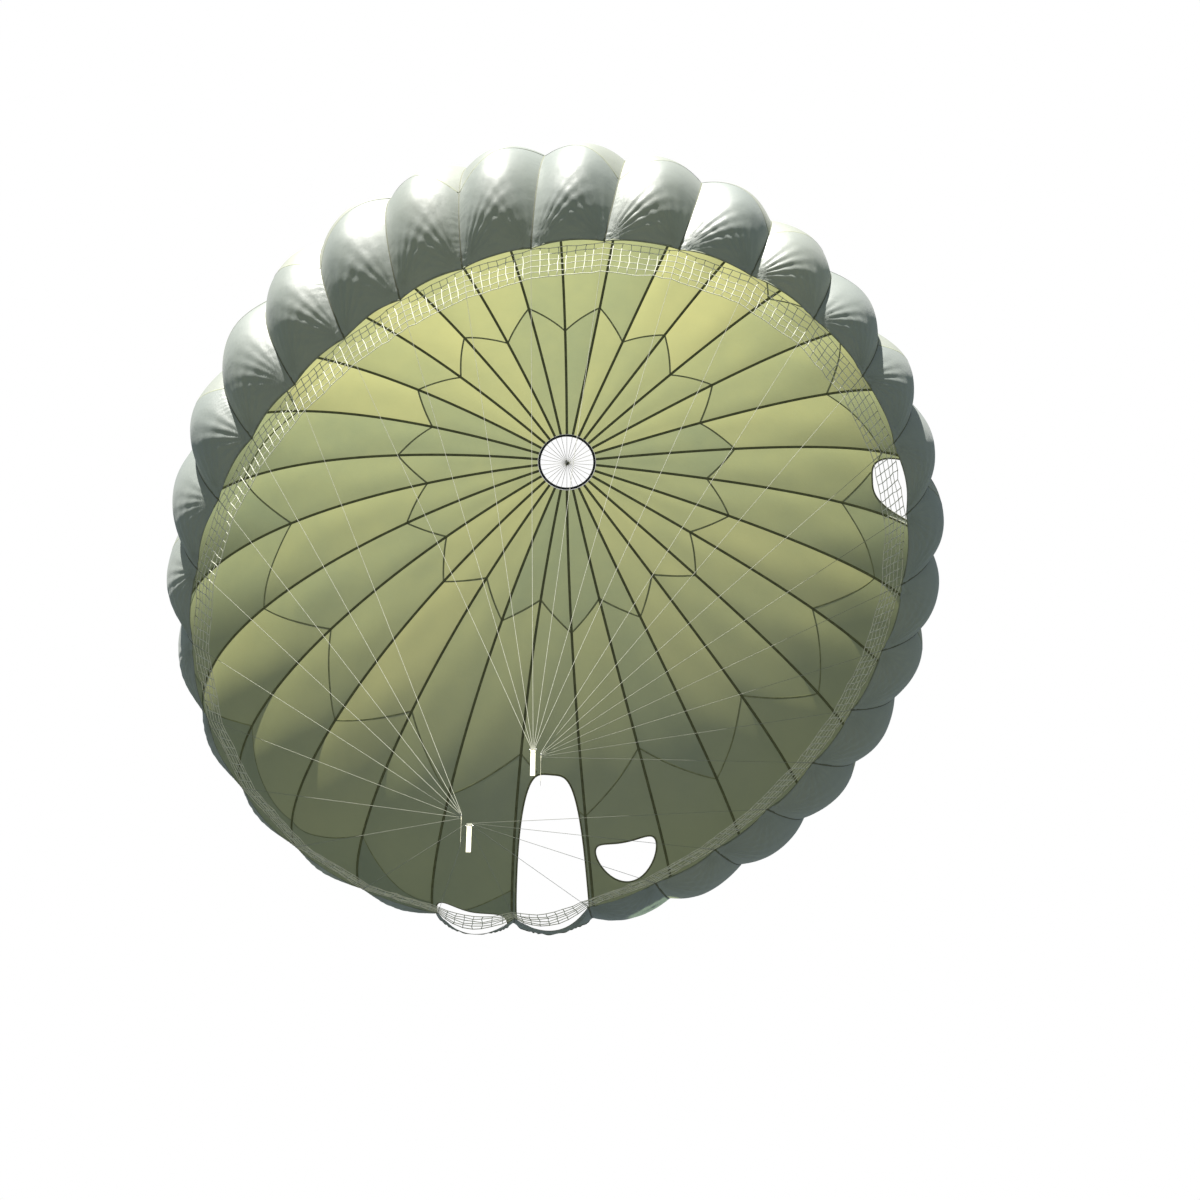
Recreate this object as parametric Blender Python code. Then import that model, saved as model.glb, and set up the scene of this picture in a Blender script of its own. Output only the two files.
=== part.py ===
"""An open round parachute: thirty gores, fifteen through lines, a vent band, a skirt net, links and risers.

Metres, +Z up. The origin is where the lines cross in the vent, and the canopy and its lines hang below it.
Bearings are degrees counted from +X towards -Y, so that bearing 90 points along -Y.
"""

from math import asin, atan2, cos, degrees, radians, sin, sqrt

import bmesh
import bpy
from mathutils import Vector

# Driving sizes of the inflated canopy.
GORES = 30
GORE_STEP = 360 / GORES
FULL_RADIUS = 3.7
CROWN_HEIGHT = 2.49
VENT_RADIUS = 0.285
SKIRT_ANGLE = 106.7
CLOTH = 0.0015

# The flying canopy isn't even: its seams turn a little on their way down, and its skirt has slid to one
# side, is drawn in and is oval. Above the skirt the canopy is a little longer along Y than along X.
SKIRT_SLIDE = Vector((-0.157, 0.28, 0))
SLIDE_POWER = 3
DRAW_IN = 0.06
OVAL = 0.074
OVAL_BEARING = 38
OVAL_POWER = 7.4
GIRTH = 0.024
TWIST = 4.7
BUNCH = 1.85
BUNCH_BEARING = -70
TWIST_POWER = 0.9

# Lines, and the gap that keeps the cloth clear of them.
LINE_DIAMETER = 0.004
SEAM_GAP = 0.003
CROSSING_STEP = 0.005
LINE_DROP = 7.12
LOAD_SWING = Vector((-0.393, -0.2, 0))

# Links and risers. FIT is the gap between pieces that touch.
FIT = 0.0004
SHOULDER_HALF = 0.40
SHOULDER_BEARING = 45
LINK_OFFSET = 0.07
LINK_WIDTH = 0.066
LINK_HEIGHT = 0.036
LINK_ROD = 0.006
LINK_CORNER = 0.009
WINDOW_CORNER = 0.003
CORNER_STEPS = 3
LINE_PITCH = 0.0066
LINE_LEAD = 0.05
RISER_LENGTH = 0.76
RISER_WIDTH = 0.044
RISER_THICK = 0.004
EYE_RADIUS = LINK_ROD / sqrt(2) + FIT
EYE_START = -60
EYE_SWEEP = 300
EYE_STEPS = 11
EYE_FOOT = (260, 280)

# Vent band and skirt net. The net hangs on the inner side of the lines.
BAND_WIDTH = 0.024
BAND_THICK = 0.002
NET_DEPTH = 0.457
NET_INSET = 0.0029
NET_HEAD = 0.003

# Facets that meet more sharply than this keep a sharp edge, in degrees.
SHARP = 35

# Stations down a seam, from the vent, 0, to the skirt, 1, and how far a gore swells there for its width.
STATIONS = (
    {"at": 0.0, "swell": 0.00},
    {"at": 0.16, "swell": 0.03},
    {"at": 0.31, "swell": 0.05},
    {"at": 0.45, "swell": 0.07},
    {"at": 0.49, "swell": 0.08},
    {"at": 0.585, "swell": 0.11},
    {"at": 0.69, "swell": 0.14},
    {"at": 0.79, "swell": 0.18},
    {"at": 0.87, "swell": 0.20},
    {"at": 0.935, "swell": 0.18},
    {"at": 0.98, "swell": 0.11},
    {"at": 1.0, "swell": 0.05},
)
SWELL_LEAN = 0.3
COLUMNS = (-1.0, -0.5, 0.0, 0.5, 1.0)
SLOT_COLUMNS = (-1.0, -0.86, 0.0, 0.86, 1.0)

# The steering slots: the gore by its middle bearing, and the stations between which it is open.
SLOTS = (
    {"bearing": 0, "top": 0.49, "bottom": 0.79},
    {"bearing": -84, "top": 0.585, "bottom": 0.69},
    {"bearing": -96, "top": 0.45, "bottom": 0.98},
    {"bearing": -108, "top": 0.79, "bottom": 0.98},
)

# The four links: the middle bearing of the lines each one gathers, and the shoulder that it belongs to.
LINKS = (
    {"name": "fore_right", "bearing": 90, "side": 1},
    {"name": "aft_right", "bearing": 0, "side": 1},
    {"name": "fore_left", "bearing": 180, "side": -1},
    {"name": "aft_left", "bearing": 270, "side": -1},
)

VENT_ANGLE = degrees(asin(VENT_RADIUS / FULL_RADIUS))
RING_DROP = CROWN_HEIGHT * (cos(radians(VENT_ANGLE)) - cos(radians(SKIRT_ANGLE)))


def heading(bearing):
    """The level unit vector that points along a bearing."""
    return Vector((cos(radians(bearing)), -sin(radians(bearing)), 0))


def seam_bearing(number):
    return 90 + GORE_STEP * number


def seam_point(bearing, at):
    """A point on a seam: at is 0 at the vent and 1 at the skirt."""
    angle = radians(VENT_ANGLE + (SKIRT_ANGLE - VENT_ANGLE) * at)
    turn = TWIST + BUNCH * cos(radians(bearing - BUNCH_BEARING))
    squash = (OVAL * cos(radians(2 * (bearing - OVAL_BEARING))) - DRAW_IN) * at**OVAL_POWER
    squash -= GIRTH * cos(radians(2 * bearing)) * sin(radians(180 * at * at))
    radius = FULL_RADIUS * (1 + squash)
    place = radius * sin(angle) * heading(bearing + turn * at**TWIST_POWER)
    place += SKIRT_SLIDE * at**SLIDE_POWER
    place.z = -CROWN_HEIGHT * (cos(radians(VENT_ANGLE)) - cos(angle))
    return place


def gore_point(bearing, across, station):
    """A point on the gore whose middle lies at a bearing; across is -1 and 1 at its two seams."""
    at = station["at"]
    first = seam_point(bearing - GORE_STEP / 2, at)
    last = seam_point(bearing + GORE_STEP / 2, at)
    chord = last - first
    inset = SEAM_GAP / chord.length
    share = inset + (1 - 2 * inset) * (across + 1) / 2
    angle = radians(VENT_ANGLE + (SKIRT_ANGLE - VENT_ANGLE) * at)
    outward = Vector((chord.y, -chord.x, 0)).normalized() * CROWN_HEIGHT * sin(angle)
    if outward.dot(heading(bearing)) < 0:
        outward = -outward
    outward.z = FULL_RADIUS * cos(angle)
    swell = station["swell"] * (1 + SWELL_LEAN * sin(radians(bearing))) * chord.length
    return first + chord * share + outward.normalized() * swell * (1 - across * across)


def material(name, colour, roughness, metallic=0.0):
    made = bpy.data.materials.new(name)
    made.use_nodes = True
    shader = made.node_tree.nodes["Principled BSDF"]
    shader.inputs["Base Color"].default_value = (*colour, 1)
    shader.inputs["Roughness"].default_value = roughness
    shader.inputs["Metallic"].default_value = metallic
    return made


def mesh_object(name, points, faces, finish):
    mesh = bpy.data.meshes.new(name)
    mesh.from_pydata([tuple(p) for p in points], [], faces)
    shape = bmesh.new()
    shape.from_mesh(mesh)
    bmesh.ops.recalc_face_normals(shape, faces=shape.faces)
    shape.to_mesh(mesh)
    shape.free()
    mesh.shade_smooth()
    mesh.set_sharp_from_angle(angle=radians(SHARP))
    mesh.materials.append(finish)
    made = bpy.data.objects.new(name, mesh)
    bpy.context.collection.objects.link(made)
    return made


def thicken(made, thickness):
    """Gives a sheet its thickness, half on each side."""
    solid = made.modifiers.new("thickness", "SOLIDIFY")
    solid.thickness = thickness
    solid.offset = 0
    return made


def slot_of(bearing):
    for slot in SLOTS:
        if round(slot["bearing"] - bearing) % 360 == 0:
            return slot
    return None


def gore(number, finish):
    """One gore, a swollen strip of cloth from the vent to the skirt, with its steering slot if it has one."""
    bearing = seam_bearing(number) - GORE_STEP / 2
    slot = slot_of(bearing)
    columns = SLOT_COLUMNS if slot else COLUMNS
    points = [gore_point(bearing, across, station) for station in STATIONS for across in columns]
    faces = []
    for row in range(len(STATIONS) - 1):
        for column in range(len(columns) - 1):
            middle = 0 < column < len(columns) - 2
            if slot and middle and slot["top"] <= STATIONS[row]["at"] < slot["bottom"]:
                continue
            corner = row * len(columns) + column
            below = corner + len(columns)
            faces.append((corner, corner + 1, below + 1, below))
    used = sorted({index for face in faces for index in face})
    renumber = {index: place for place, index in enumerate(used)}
    faces = [tuple(renumber[index] for index in face) for face in faces]
    return thicken(mesh_object(f"gore_{number + 1:02d}", [points[i] for i in used], faces, finish), CLOTH)


def link_centre(link):
    """The middle of a connector link."""
    load = SKIRT_SLIDE + LOAD_SWING - Vector((0, 0, RING_DROP + LINE_DROP))
    shoulder = SHOULDER_HALF * link["side"] * heading(SHOULDER_BEARING)
    return load + shoulder + LINK_OFFSET * heading(link["bearing"])


def bearing_gap(first, second):
    return (first - second + 180) % 360 - 180


def link_of(bearing):
    return min(LINKS, key=lambda link: abs(bearing_gap(bearing, link["bearing"])))


def line_end(bearing):
    """Where a line meets its link: the lines sit side by side along the link's upper rod."""
    link = link_of(bearing)
    place = bearing_gap(bearing, link["bearing"]) / GORE_STEP
    along = heading(link["bearing"] + 90)
    top = LINK_HEIGHT / 2 + FIT
    return link_centre(link) + along * place * LINE_PITCH + Vector((0, 0, top))


def line(number, finish):
    """One line, from its link up a seam, across the vent and down the opposite seam to the other link."""
    bearing = seam_bearing(number)
    ats = [station["at"] for station in STATIONS]
    lead = Vector((0, 0, LINE_LEAD))
    points = [line_end(bearing), line_end(bearing) + lead]
    points += [seam_point(bearing, at) for at in reversed(ats)]
    points.append(Vector((0, 0, -CROSSING_STEP * number)))
    points += [seam_point(bearing + 180, at) for at in ats]
    points += [line_end(bearing + 180) + lead, line_end(bearing + 180)]
    curve = bpy.data.curves.new(f"line_{number + 1:02d}", "CURVE")
    curve.dimensions = "3D"
    curve.bevel_depth = LINE_DIAMETER / 2
    curve.bevel_resolution = 2
    curve.use_fill_caps = True
    spline = curve.splines.new("POLY")
    spline.points.add(len(points) - 1)
    for place, point in zip(spline.points, points):
        place.co = (*point, 1)
    curve.materials.append(finish)
    made = bpy.data.objects.new(curve.name, curve)
    bpy.context.collection.objects.link(made)
    return made


def ring(name, rows, finish):
    """A closed band of triangles: each row is a list of points once round, and the last row joins the first.

    The second wall is split the same way as the first one, so that a twisted band keeps its thickness.
    """
    count = len(rows[0])
    points = [point for row in rows for point in row]
    faces = []
    for row in range(len(rows)):
        corner = row * count
        facing = (row + 1) % len(rows) * count
        for place in range(count):
            following = (place + 1) % count
            first, second, third, fourth = corner + place, corner + following, facing + following, facing + place
            if row < len(rows) / 2:
                faces += [(first, second, third), (first, third, fourth)]
            else:
                faces += [(second, third, fourth), (second, fourth, first)]
    return mesh_object(name, points, faces, finish)


def vent_band(finish):
    """The flat tape that binds the vent, resting on the lines just inside the gores' upper edges."""
    outer = VENT_RADIUS - SEAM_GAP
    inner = outer - BAND_WIDTH
    low = seam_point(90, 0).z + LINE_DIAMETER / 2 + FIT
    high = low + BAND_THICK
    corners = ((outer, low), (outer, high), (inner, high), (inner, low))
    bearings = [seam_bearing(number / 2) for number in range(2 * GORES)]
    rows = [[radius * heading(b) + Vector((0, 0, height)) for b in bearings] for radius, height in corners]
    return ring("vent_band", rows, finish)


def skirt_net(finish):
    """The net that hangs from the skirt along the lines, built as an uncut sheet."""
    foot = NET_HEAD + NET_DEPTH
    corners = (
        (NET_HEAD, NET_INSET),
        (foot, NET_INSET),
        (foot, NET_INSET + CLOTH),
        (NET_HEAD, NET_INSET + CLOTH),
    )
    rows = []
    for depth, inset in corners:
        row = []
        for number in range(GORES):
            bearing = seam_bearing(number)
            hem = seam_point(bearing, 1)
            down = line_end(bearing) + Vector((0, 0, LINE_LEAD)) - hem
            inward = SKIRT_SLIDE - hem
            inward.z = 0
            row.append(hem + down.normalized() * depth + inward.normalized() * inset)
        rows.append(row)
    return ring("skirt_net", rows, finish)


def turned(made, bearing, centre):
    """Places an object with its own +X along the bearing's right-hand side."""
    side = heading(bearing + 90)
    made.rotation_euler = (0, 0, atan2(side.y, side.x))
    made.location = centre
    return made


def extruded(name, loops, width, finish):
    """A plate with one hole: loops are its outline and its hole, in (thickness, height), swept along +X."""
    count = len(loops[0])
    points = [Vector((side * width / 2, *corner)) for side in (-1, 1) for loop in loops for corner in loop]
    faces = []
    for place in range(count):
        following = (place + 1) % count
        outer, hole, far_outer, far_hole = (
            (base + place, base + following) for base in (0, count, 2 * count, 3 * count)
        )
        faces.append((outer[0], hole[0], hole[1], outer[1]))
        faces.append((far_outer[0], far_outer[1], far_hole[1], far_hole[0]))
        faces.append((outer[0], outer[1], far_outer[1], far_outer[0]))
        faces.append((hole[0], far_hole[0], far_hole[1], hole[1]))
    return mesh_object(name, points, faces, finish)


def rectangle_points(half_width, half_height, corner):
    """A rectangle with rounded corners, once round from its right side, in (across, height)."""
    points = []
    for quarter, (side, rise) in enumerate(((1, 1), (-1, 1), (-1, -1), (1, -1))):
        for step in range(CORNER_STEPS + 1):
            angle = radians(90 * (quarter + step / CORNER_STEPS))
            across = side * (half_width - corner) + corner * cos(angle)
            points.append((across, rise * (half_height - corner) + corner * sin(angle)))
    return points


def connector_link(link, finish):
    """A flat ring of steel rod, wider than it is tall."""
    outer = rectangle_points(LINK_WIDTH / 2, LINK_HEIGHT / 2, LINK_CORNER)
    window = rectangle_points(LINK_WIDTH / 2 - LINK_ROD, LINK_HEIGHT / 2 - LINK_ROD, WINDOW_CORNER)
    made = extruded(f"link_{link['name']}", (outer, window), LINK_ROD, finish)
    for vertex in made.data.vertices:
        depth, across, height = vertex.co
        vertex.co = (across, -depth, height)
    return turned(made, link["bearing"], link_centre(link))


def riser(link, finish):
    """A webbing strap: its upper end is an eye round the link's lower rod, its lower end is cut square."""
    loop_radius = EYE_RADIUS + RISER_THICK / 2
    turns = [EYE_START + EYE_SWEEP * step / EYE_STEPS for step in range(EYE_STEPS + 1)]
    loop = [(loop_radius * cos(radians(turn)), loop_radius * sin(radians(turn))) for turn in turns]
    loop += [(-RISER_THICK / 2, -RISER_LENGTH), (RISER_THICK / 2, -RISER_LENGTH)]
    turns += EYE_FOOT
    eye = [(EYE_RADIUS * cos(radians(turn)), EYE_RADIUS * sin(radians(turn))) for turn in turns]
    made = extruded(f"riser_{link['name']}", (loop, eye), RISER_WIDTH, finish)
    lower_rod = link_centre(link) - Vector((0, 0, LINK_HEIGHT / 2 - LINK_ROD / 2))
    return turned(made, link["bearing"], lower_rod)


def main():
    for old in list(bpy.data.objects):
        bpy.data.objects.remove(old)
    cloth = material("canopy_cloth", (0.30, 0.33, 0.16), 0.45)
    cord = material("line_cord", (0.12, 0.13, 0.07), 0.7)
    tape = material("vent_tape", (0.07, 0.09, 0.10), 0.7)
    netting = material("skirt_netting", (0.55, 0.58, 0.40), 0.8)
    steel = material("link_steel", (0.62, 0.63, 0.64), 0.3, 1.0)
    webbing = material("riser_webbing", (0.42, 0.40, 0.28), 0.8)
    for number in range(GORES):
        gore(number, cloth)
    for number in range(GORES // 2):
        line(number, cord)
    vent_band(tape)
    skirt_net(netting)
    for link in LINKS:
        connector_link(link, steel)
        riser(link, webbing)


main()
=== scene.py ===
# %% [markdown]
# # An open round parachute, seen from below
# The solids come from the imported model, which holds every size. This notebook dresses them: thin cloth
# that glows where the sun shines through it, the seams, the cords, the net under the skirt, the links and
# the straps. It runs from top to bottom, and most cells print what they made.

# %% Load the imported model and keep its box
from math import asin, cos, degrees, pi, radians, sin, sqrt, tau

import bpy
import numpy as np
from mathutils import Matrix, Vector


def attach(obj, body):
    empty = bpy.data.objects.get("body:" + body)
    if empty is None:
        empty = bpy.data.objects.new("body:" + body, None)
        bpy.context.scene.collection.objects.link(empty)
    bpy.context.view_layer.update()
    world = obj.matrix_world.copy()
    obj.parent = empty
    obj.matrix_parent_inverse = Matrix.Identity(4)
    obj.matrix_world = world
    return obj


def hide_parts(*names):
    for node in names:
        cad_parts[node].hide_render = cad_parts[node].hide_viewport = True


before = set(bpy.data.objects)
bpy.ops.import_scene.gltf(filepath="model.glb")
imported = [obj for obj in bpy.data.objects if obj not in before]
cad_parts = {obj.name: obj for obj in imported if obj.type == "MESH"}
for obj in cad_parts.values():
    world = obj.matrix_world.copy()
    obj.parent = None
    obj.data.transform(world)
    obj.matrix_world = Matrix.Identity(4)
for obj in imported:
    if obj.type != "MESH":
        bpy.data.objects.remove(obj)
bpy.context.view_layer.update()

# %% [markdown]
# ## The driving sizes
# A round canopy is a ring of equal wedges called gores. Each seam between two gores runs from the vent,
# at 0, to the skirt, at 1, and every place on the cloth is named by its bearing round the canopy and by
# how far down it lies. Bearings are degrees from +X towards -Y, as in the solids, so all that follows
# lands on them.

# %% Sizes of the canopy, its cords and its straps, in metres
GORES = 30
GORE_STEP = 360 / GORES
FULL_RADIUS = 3.7
CROWN_HEIGHT = 2.49
VENT_RADIUS = 0.285
SKIRT_ANGLE = 106.7
SKIRT_SLIDE = np.array((-0.157, 0.28, 0.0))
SLIDE_POWER = 3
DRAW_IN = 0.06
OVAL = 0.074
OVAL_BEARING = 38
OVAL_POWER = 7.4
GIRTH = 0.024
TWIST = 4.7
BUNCH = 1.85
BUNCH_BEARING = -70
TWIST_POWER = 0.9
VENT_ANGLE = degrees(asin(VENT_RADIUS / FULL_RADIUS))
RING_DROP = CROWN_HEIGHT * (cos(radians(VENT_ANGLE)) - cos(radians(SKIRT_ANGLE)))
LINE_DIAMETER = 0.004
LINE_DROP = 7.12
LINE_LEAD = 0.05
LINE_PITCH = 0.0066
CROSSING_STEP = 0.005
LOAD_SWING = np.array((-0.393, -0.2, 0.0))
SHOULDER_HALF = 0.40
SHOULDER_BEARING = 45
LINK_OFFSET = 0.07
LINK_WIDTH = 0.066
LINK_HEIGHT = 0.036
LINK_ROD = 0.006
FIT = 0.0004
LINKS = (
    {"name": "fore_right", "bearing": 90, "side": 1},
    {"name": "aft_right", "bearing": 0, "side": 1},
    {"name": "fore_left", "bearing": 180, "side": -1},
    {"name": "aft_left", "bearing": 270, "side": -1},
)
UP = np.array((0.0, 0.0, 1.0))
print("skirt", round(RING_DROP, 3), "m under the vent, links", round(LINE_DROP, 2), "m under the skirt")

# %% [markdown]
# ## Where a seam runs
# Filled with air, a seam follows a flattened half circle. This canopy isn't even: its seams turn a little
# on their way down, and its skirt has slid to one side, is drawn in and is oval. One formula gives any
# point of any seam, so the cloth, the cords and the stitching all agree.

# %% Points on a seam
def heading(bearing):
    """Level unit vectors that point along bearings."""
    turn = np.radians(bearing)
    return np.stack((np.cos(turn), -np.sin(turn), np.zeros_like(turn)), axis=-1)


def bearing_gap(first, second):
    return (first - second + 180) % 360 - 180


def seam_angle(at):
    return np.radians(VENT_ANGLE + (SKIRT_ANGLE - VENT_ANGLE) * at)


def seam_points(bearing, at):
    """Points at one bearing, for an array of places from the vent, 0, to the skirt, 1."""
    at = np.asarray(at, dtype=float)
    angle = seam_angle(at)
    turn = TWIST + BUNCH * cos(radians(bearing - BUNCH_BEARING))
    squash = (OVAL * cos(radians(2 * (bearing - OVAL_BEARING))) - DRAW_IN) * at**OVAL_POWER
    squash = squash - GIRTH * cos(radians(2 * bearing)) * np.sin(pi * at * at)
    places = heading(bearing + turn * at**TWIST_POWER)
    places = (FULL_RADIUS * (1 + squash) * np.sin(angle))[..., None] * places
    places = places + SKIRT_SLIDE * (at**SLIDE_POWER)[..., None]
    places[..., 2] = -CROWN_HEIGHT * (cos(radians(VENT_ANGLE)) - np.cos(angle))
    return places


def seam_bearing(number):
    return 90 + GORE_STEP * number


seam_lengths = []
for number in range(GORES):
    route = seam_points(seam_bearing(number), np.linspace(0, 1, 200))
    seam_lengths.append(float(np.linalg.norm(np.diff(route, axis=0), axis=1).sum()))
print("seams measure", round(min(seam_lengths), 2), "to", round(max(seam_lengths), 2), "m")

# %% [markdown]
# ## The camera
# The photograph looks up at the canopy from far below and a little to one side, so its long lens flattens
# it. A camera 100 m away, with a long focal length, gives the same drawing. It comes first, because all
# the looks are judged through it. One point of the model is set on the pixel where the photograph shows
# it.

# %% Camera below the canopy, looking up
TILT = radians(16.5)
PIXELS = 1200
PIXELS_PER_METRE = 105.3
PHOTO_POINT = Vector((-0.17, 0.34, -3.197))
PHOTO_PIXEL = (548, 588)
CAMERA_DISTANCE = 100
SENSOR = 36
IMAGE_RIGHT = Vector((1, 0, 0))
IMAGE_UP = Vector((0, -cos(TILT), sin(TILT)))
AWAY = Vector((0, sin(TILT), cos(TILT)))
aim = PHOTO_POINT + IMAGE_RIGHT * (PIXELS / 2 - PHOTO_PIXEL[0]) / PIXELS_PER_METRE
aim -= IMAGE_UP * (PIXELS / 2 - PHOTO_PIXEL[1]) / PIXELS_PER_METRE
lens = bpy.data.cameras.new("photo_view")
lens.sensor_width = SENSOR
lens.lens = SENSOR * CAMERA_DISTANCE / (PIXELS / PIXELS_PER_METRE)
lens.clip_end = 10 * CAMERA_DISTANCE
camera = bpy.data.objects.new("photo_view", lens)
bpy.context.collection.objects.link(camera)
camera.location = aim - AWAY * CAMERA_DISTANCE
camera.rotation_euler = AWAY.to_track_quat("-Z", "Y").to_euler()
bpy.context.scene.camera = camera
print("camera at", tuple(round(v, 2) for v in camera.location), "lens", round(lens.lens, 1), "mm")

# %% [markdown]
# ## Finishes
# Each material is one short function. The cloth is the main one: it is so thin that the sun lights it
# from behind, so it mixes a glossy surface with Blender's Translucent shader, which shows the light that
# falls on the far side. A number stored on each cloth section sets how light it is: partly at random, as
# dye lots do, and partly painted light and shade, with lighter and darker bearings round the canopy and a
# darker outermost section as painted shade toward the skirt.

# %% Helpers for node materials
def blank_material(name):
    made = bpy.data.materials.new(name)
    made.use_nodes = True
    tree = made.node_tree
    shader = tree.nodes["Principled BSDF"]
    return made, tree, shader


def add_node(tree, kind, **settings):
    node = tree.nodes.new(kind)
    for key, value in settings.items():
        setattr(node, key, value)
    return node


def noise(tree, coordinates, scale, detail=4.0, roughness=0.55):
    made = add_node(tree, "ShaderNodeTexNoise")
    made.inputs["Scale"].default_value = scale
    made.inputs["Detail"].default_value = detail
    made.inputs["Roughness"].default_value = roughness
    tree.links.new(coordinates, made.inputs["Vector"])
    return made.outputs["Fac"]


def ramp(tree, factor, stops):
    """A colour ramp through (position, colour) stops."""
    made = add_node(tree, "ShaderNodeValToRGB")
    elements = made.color_ramp.elements
    while len(elements) < len(stops):
        elements.new(0.5)
    for element, (position, colour) in zip(elements, stops):
        element.position = position
        element.color = (*colour, 1)
    tree.links.new(factor, made.inputs["Fac"])
    return made.outputs["Color"]


def bump(tree, height, shader, strength, distance, before=None):
    made = add_node(tree, "ShaderNodeBump")
    made.inputs["Strength"].default_value = strength
    made.inputs["Distance"].default_value = distance
    tree.links.new(height, made.inputs["Height"])
    if before is not None:
        tree.links.new(before, made.inputs["Normal"])
    tree.links.new(made.outputs["Normal"], shader.inputs["Normal"])
    return made.outputs["Normal"]


def glowing(tree, shader, share):
    """Mixes light from the far side into a surface, and returns the shader that holds its colour."""
    glow = add_node(tree, "ShaderNodeBsdfTranslucent")
    both = add_node(tree, "ShaderNodeMixShader")
    both.inputs["Fac"].default_value = share
    tree.links.new(shader.outputs["BSDF"], both.inputs[1])
    tree.links.new(glow.outputs["BSDF"], both.inputs[2])
    tree.links.new(both.outputs["Shader"], tree.nodes["Material Output"].inputs["Surface"])
    return glow


def multiply_add(tree, value, factor, added):
    """A node that multiplies one value by a factor and adds another."""
    made = add_node(tree, "ShaderNodeMath", operation="MULTIPLY_ADD")
    tree.links.new(value, made.inputs[0])
    made.inputs[1].default_value = factor
    tree.links.new(added, made.inputs[2])
    return made.outputs[0]


# %% The canopy cloth
THROUGH_SHARE = 0.28
WEAVE_PITCH = 0.005
MORTAR_SHARE = 0.08
CLOUD_SCALE = 1.4
CLOUD_SHARE = 0.30
MOTTLE_SCALE = 9.0
MOTTLE_SHARE = 0.10


def cloth_material():
    made, tree, shader = blank_material("canopy_cloth")
    links = tree.links
    place = add_node(tree, "ShaderNodeTexCoord").outputs["Object"]
    cut = add_node(tree, "ShaderNodeUVMap", uv_map="cut")
    # This attribute holds each section's random lightness with painted light and shade mixed in.
    tone_and_shade = add_node(tree, "ShaderNodeAttribute", attribute_name="tone_and_shade").outputs["Fac"]
    clouds = noise(tree, place, CLOUD_SCALE, detail=3.0)
    mottle = noise(tree, place, MOTTLE_SCALE, detail=5.0)
    mixed = multiply_add(tree, clouds, CLOUD_SHARE, tone_and_shade)
    mixed = multiply_add(tree, mottle, MOTTLE_SHARE, mixed)
    through = ramp(tree, mixed, (
        (0.15, (0.135, 0.190, 0.122)),
        (0.45, (0.275, 0.318, 0.158)),
        (0.75, (0.425, 0.443, 0.182)),
        (1.00, (0.540, 0.530, 0.205)),
    ))
    face = ramp(tree, mixed, (
        (0.15, (0.245, 0.278, 0.262)),
        (0.60, (0.300, 0.325, 0.295)),
        (1.00, (0.345, 0.362, 0.310)),
    ))
    links.new(face, shader.inputs["Base Color"])
    shader.inputs["Roughness"].default_value = 0.46
    shader.inputs["Specular IOR Level"].default_value = 0.85
    shader.inputs["Sheen Weight"].default_value = 0.15
    links.new(through, glowing(tree, shader, THROUGH_SHARE).inputs["Color"])
    weave = add_node(tree, "ShaderNodeTexBrick")
    weave.offset = 0.0
    weave.inputs["Scale"].default_value = 1.0
    weave.inputs["Brick Width"].default_value = WEAVE_PITCH
    weave.inputs["Row Height"].default_value = WEAVE_PITCH
    weave.inputs["Mortar Size"].default_value = WEAVE_PITCH * MORTAR_SHARE
    weave.inputs["Color1"].default_value = (0, 0, 0, 1)
    weave.inputs["Color2"].default_value = (0.15, 0.15, 0.15, 1)
    weave.inputs["Mortar"].default_value = (1, 1, 1, 1)
    links.new(cut.outputs["UV"], weave.inputs["Vector"])
    crumple = bump(tree, mottle, shader, strength=0.35, distance=0.010)
    bump(tree, weave.outputs["Color"], shader, strength=0.25, distance=0.0006, before=crumple)
    return made


CLOTH = cloth_material()
print("material:", CLOTH.name)

# %% [markdown]
# Seams, tapes, cords and webbing are all woven from thicker yarn and let little light through, or none.
# One function makes them, with a fine diagonal weave and a little soiling, and only the colours differ.

# %% Woven tapes and cords
SOIL_SCALE = 14.0
SOILED = 0.72
FADED = 1.22


def woven_material(name, colour, roughness, pitch, through=0.0):
    made, tree, shader = blank_material(name)
    place = add_node(tree, "ShaderNodeTexCoord").outputs["Object"]
    soil = noise(tree, place, SOIL_SCALE, detail=6.0)
    darker = tuple(SOILED * value for value in colour)
    paler = tuple(min(1.0, FADED * value) for value in colour)
    tree.links.new(ramp(tree, soil, ((0.3, darker), (0.7, paler))), shader.inputs["Base Color"])
    shader.inputs["Roughness"].default_value = roughness
    twill = add_node(tree, "ShaderNodeTexWave", wave_type="BANDS", bands_direction="DIAGONAL")
    twill.inputs["Scale"].default_value = 1 / pitch
    twill.inputs["Distortion"].default_value = 0.6
    tree.links.new(place, twill.inputs["Vector"])
    bump(tree, twill.outputs["Fac"], shader, strength=0.5, distance=0.2 * pitch)
    if through:
        glowing(tree, shader, through).inputs["Color"].default_value = (*paler, 1)
    return made


def steel_material():
    made, tree, shader = blank_material("link_steel")
    place = add_node(tree, "ShaderNodeTexCoord").outputs["Object"]
    scuffs = noise(tree, place, 160.0, detail=8.0, roughness=0.7)
    worn = ramp(tree, scuffs, ((0.3, (0.50, 0.50, 0.50)), (0.7, (0.74, 0.74, 0.73))))
    tree.links.new(worn, shader.inputs["Base Color"])
    shader.inputs["Metallic"].default_value = 1.0
    shader.inputs["Roughness"].default_value = 0.28
    bump(tree, scuffs, shader, strength=0.2, distance=0.0002)
    return made


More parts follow.
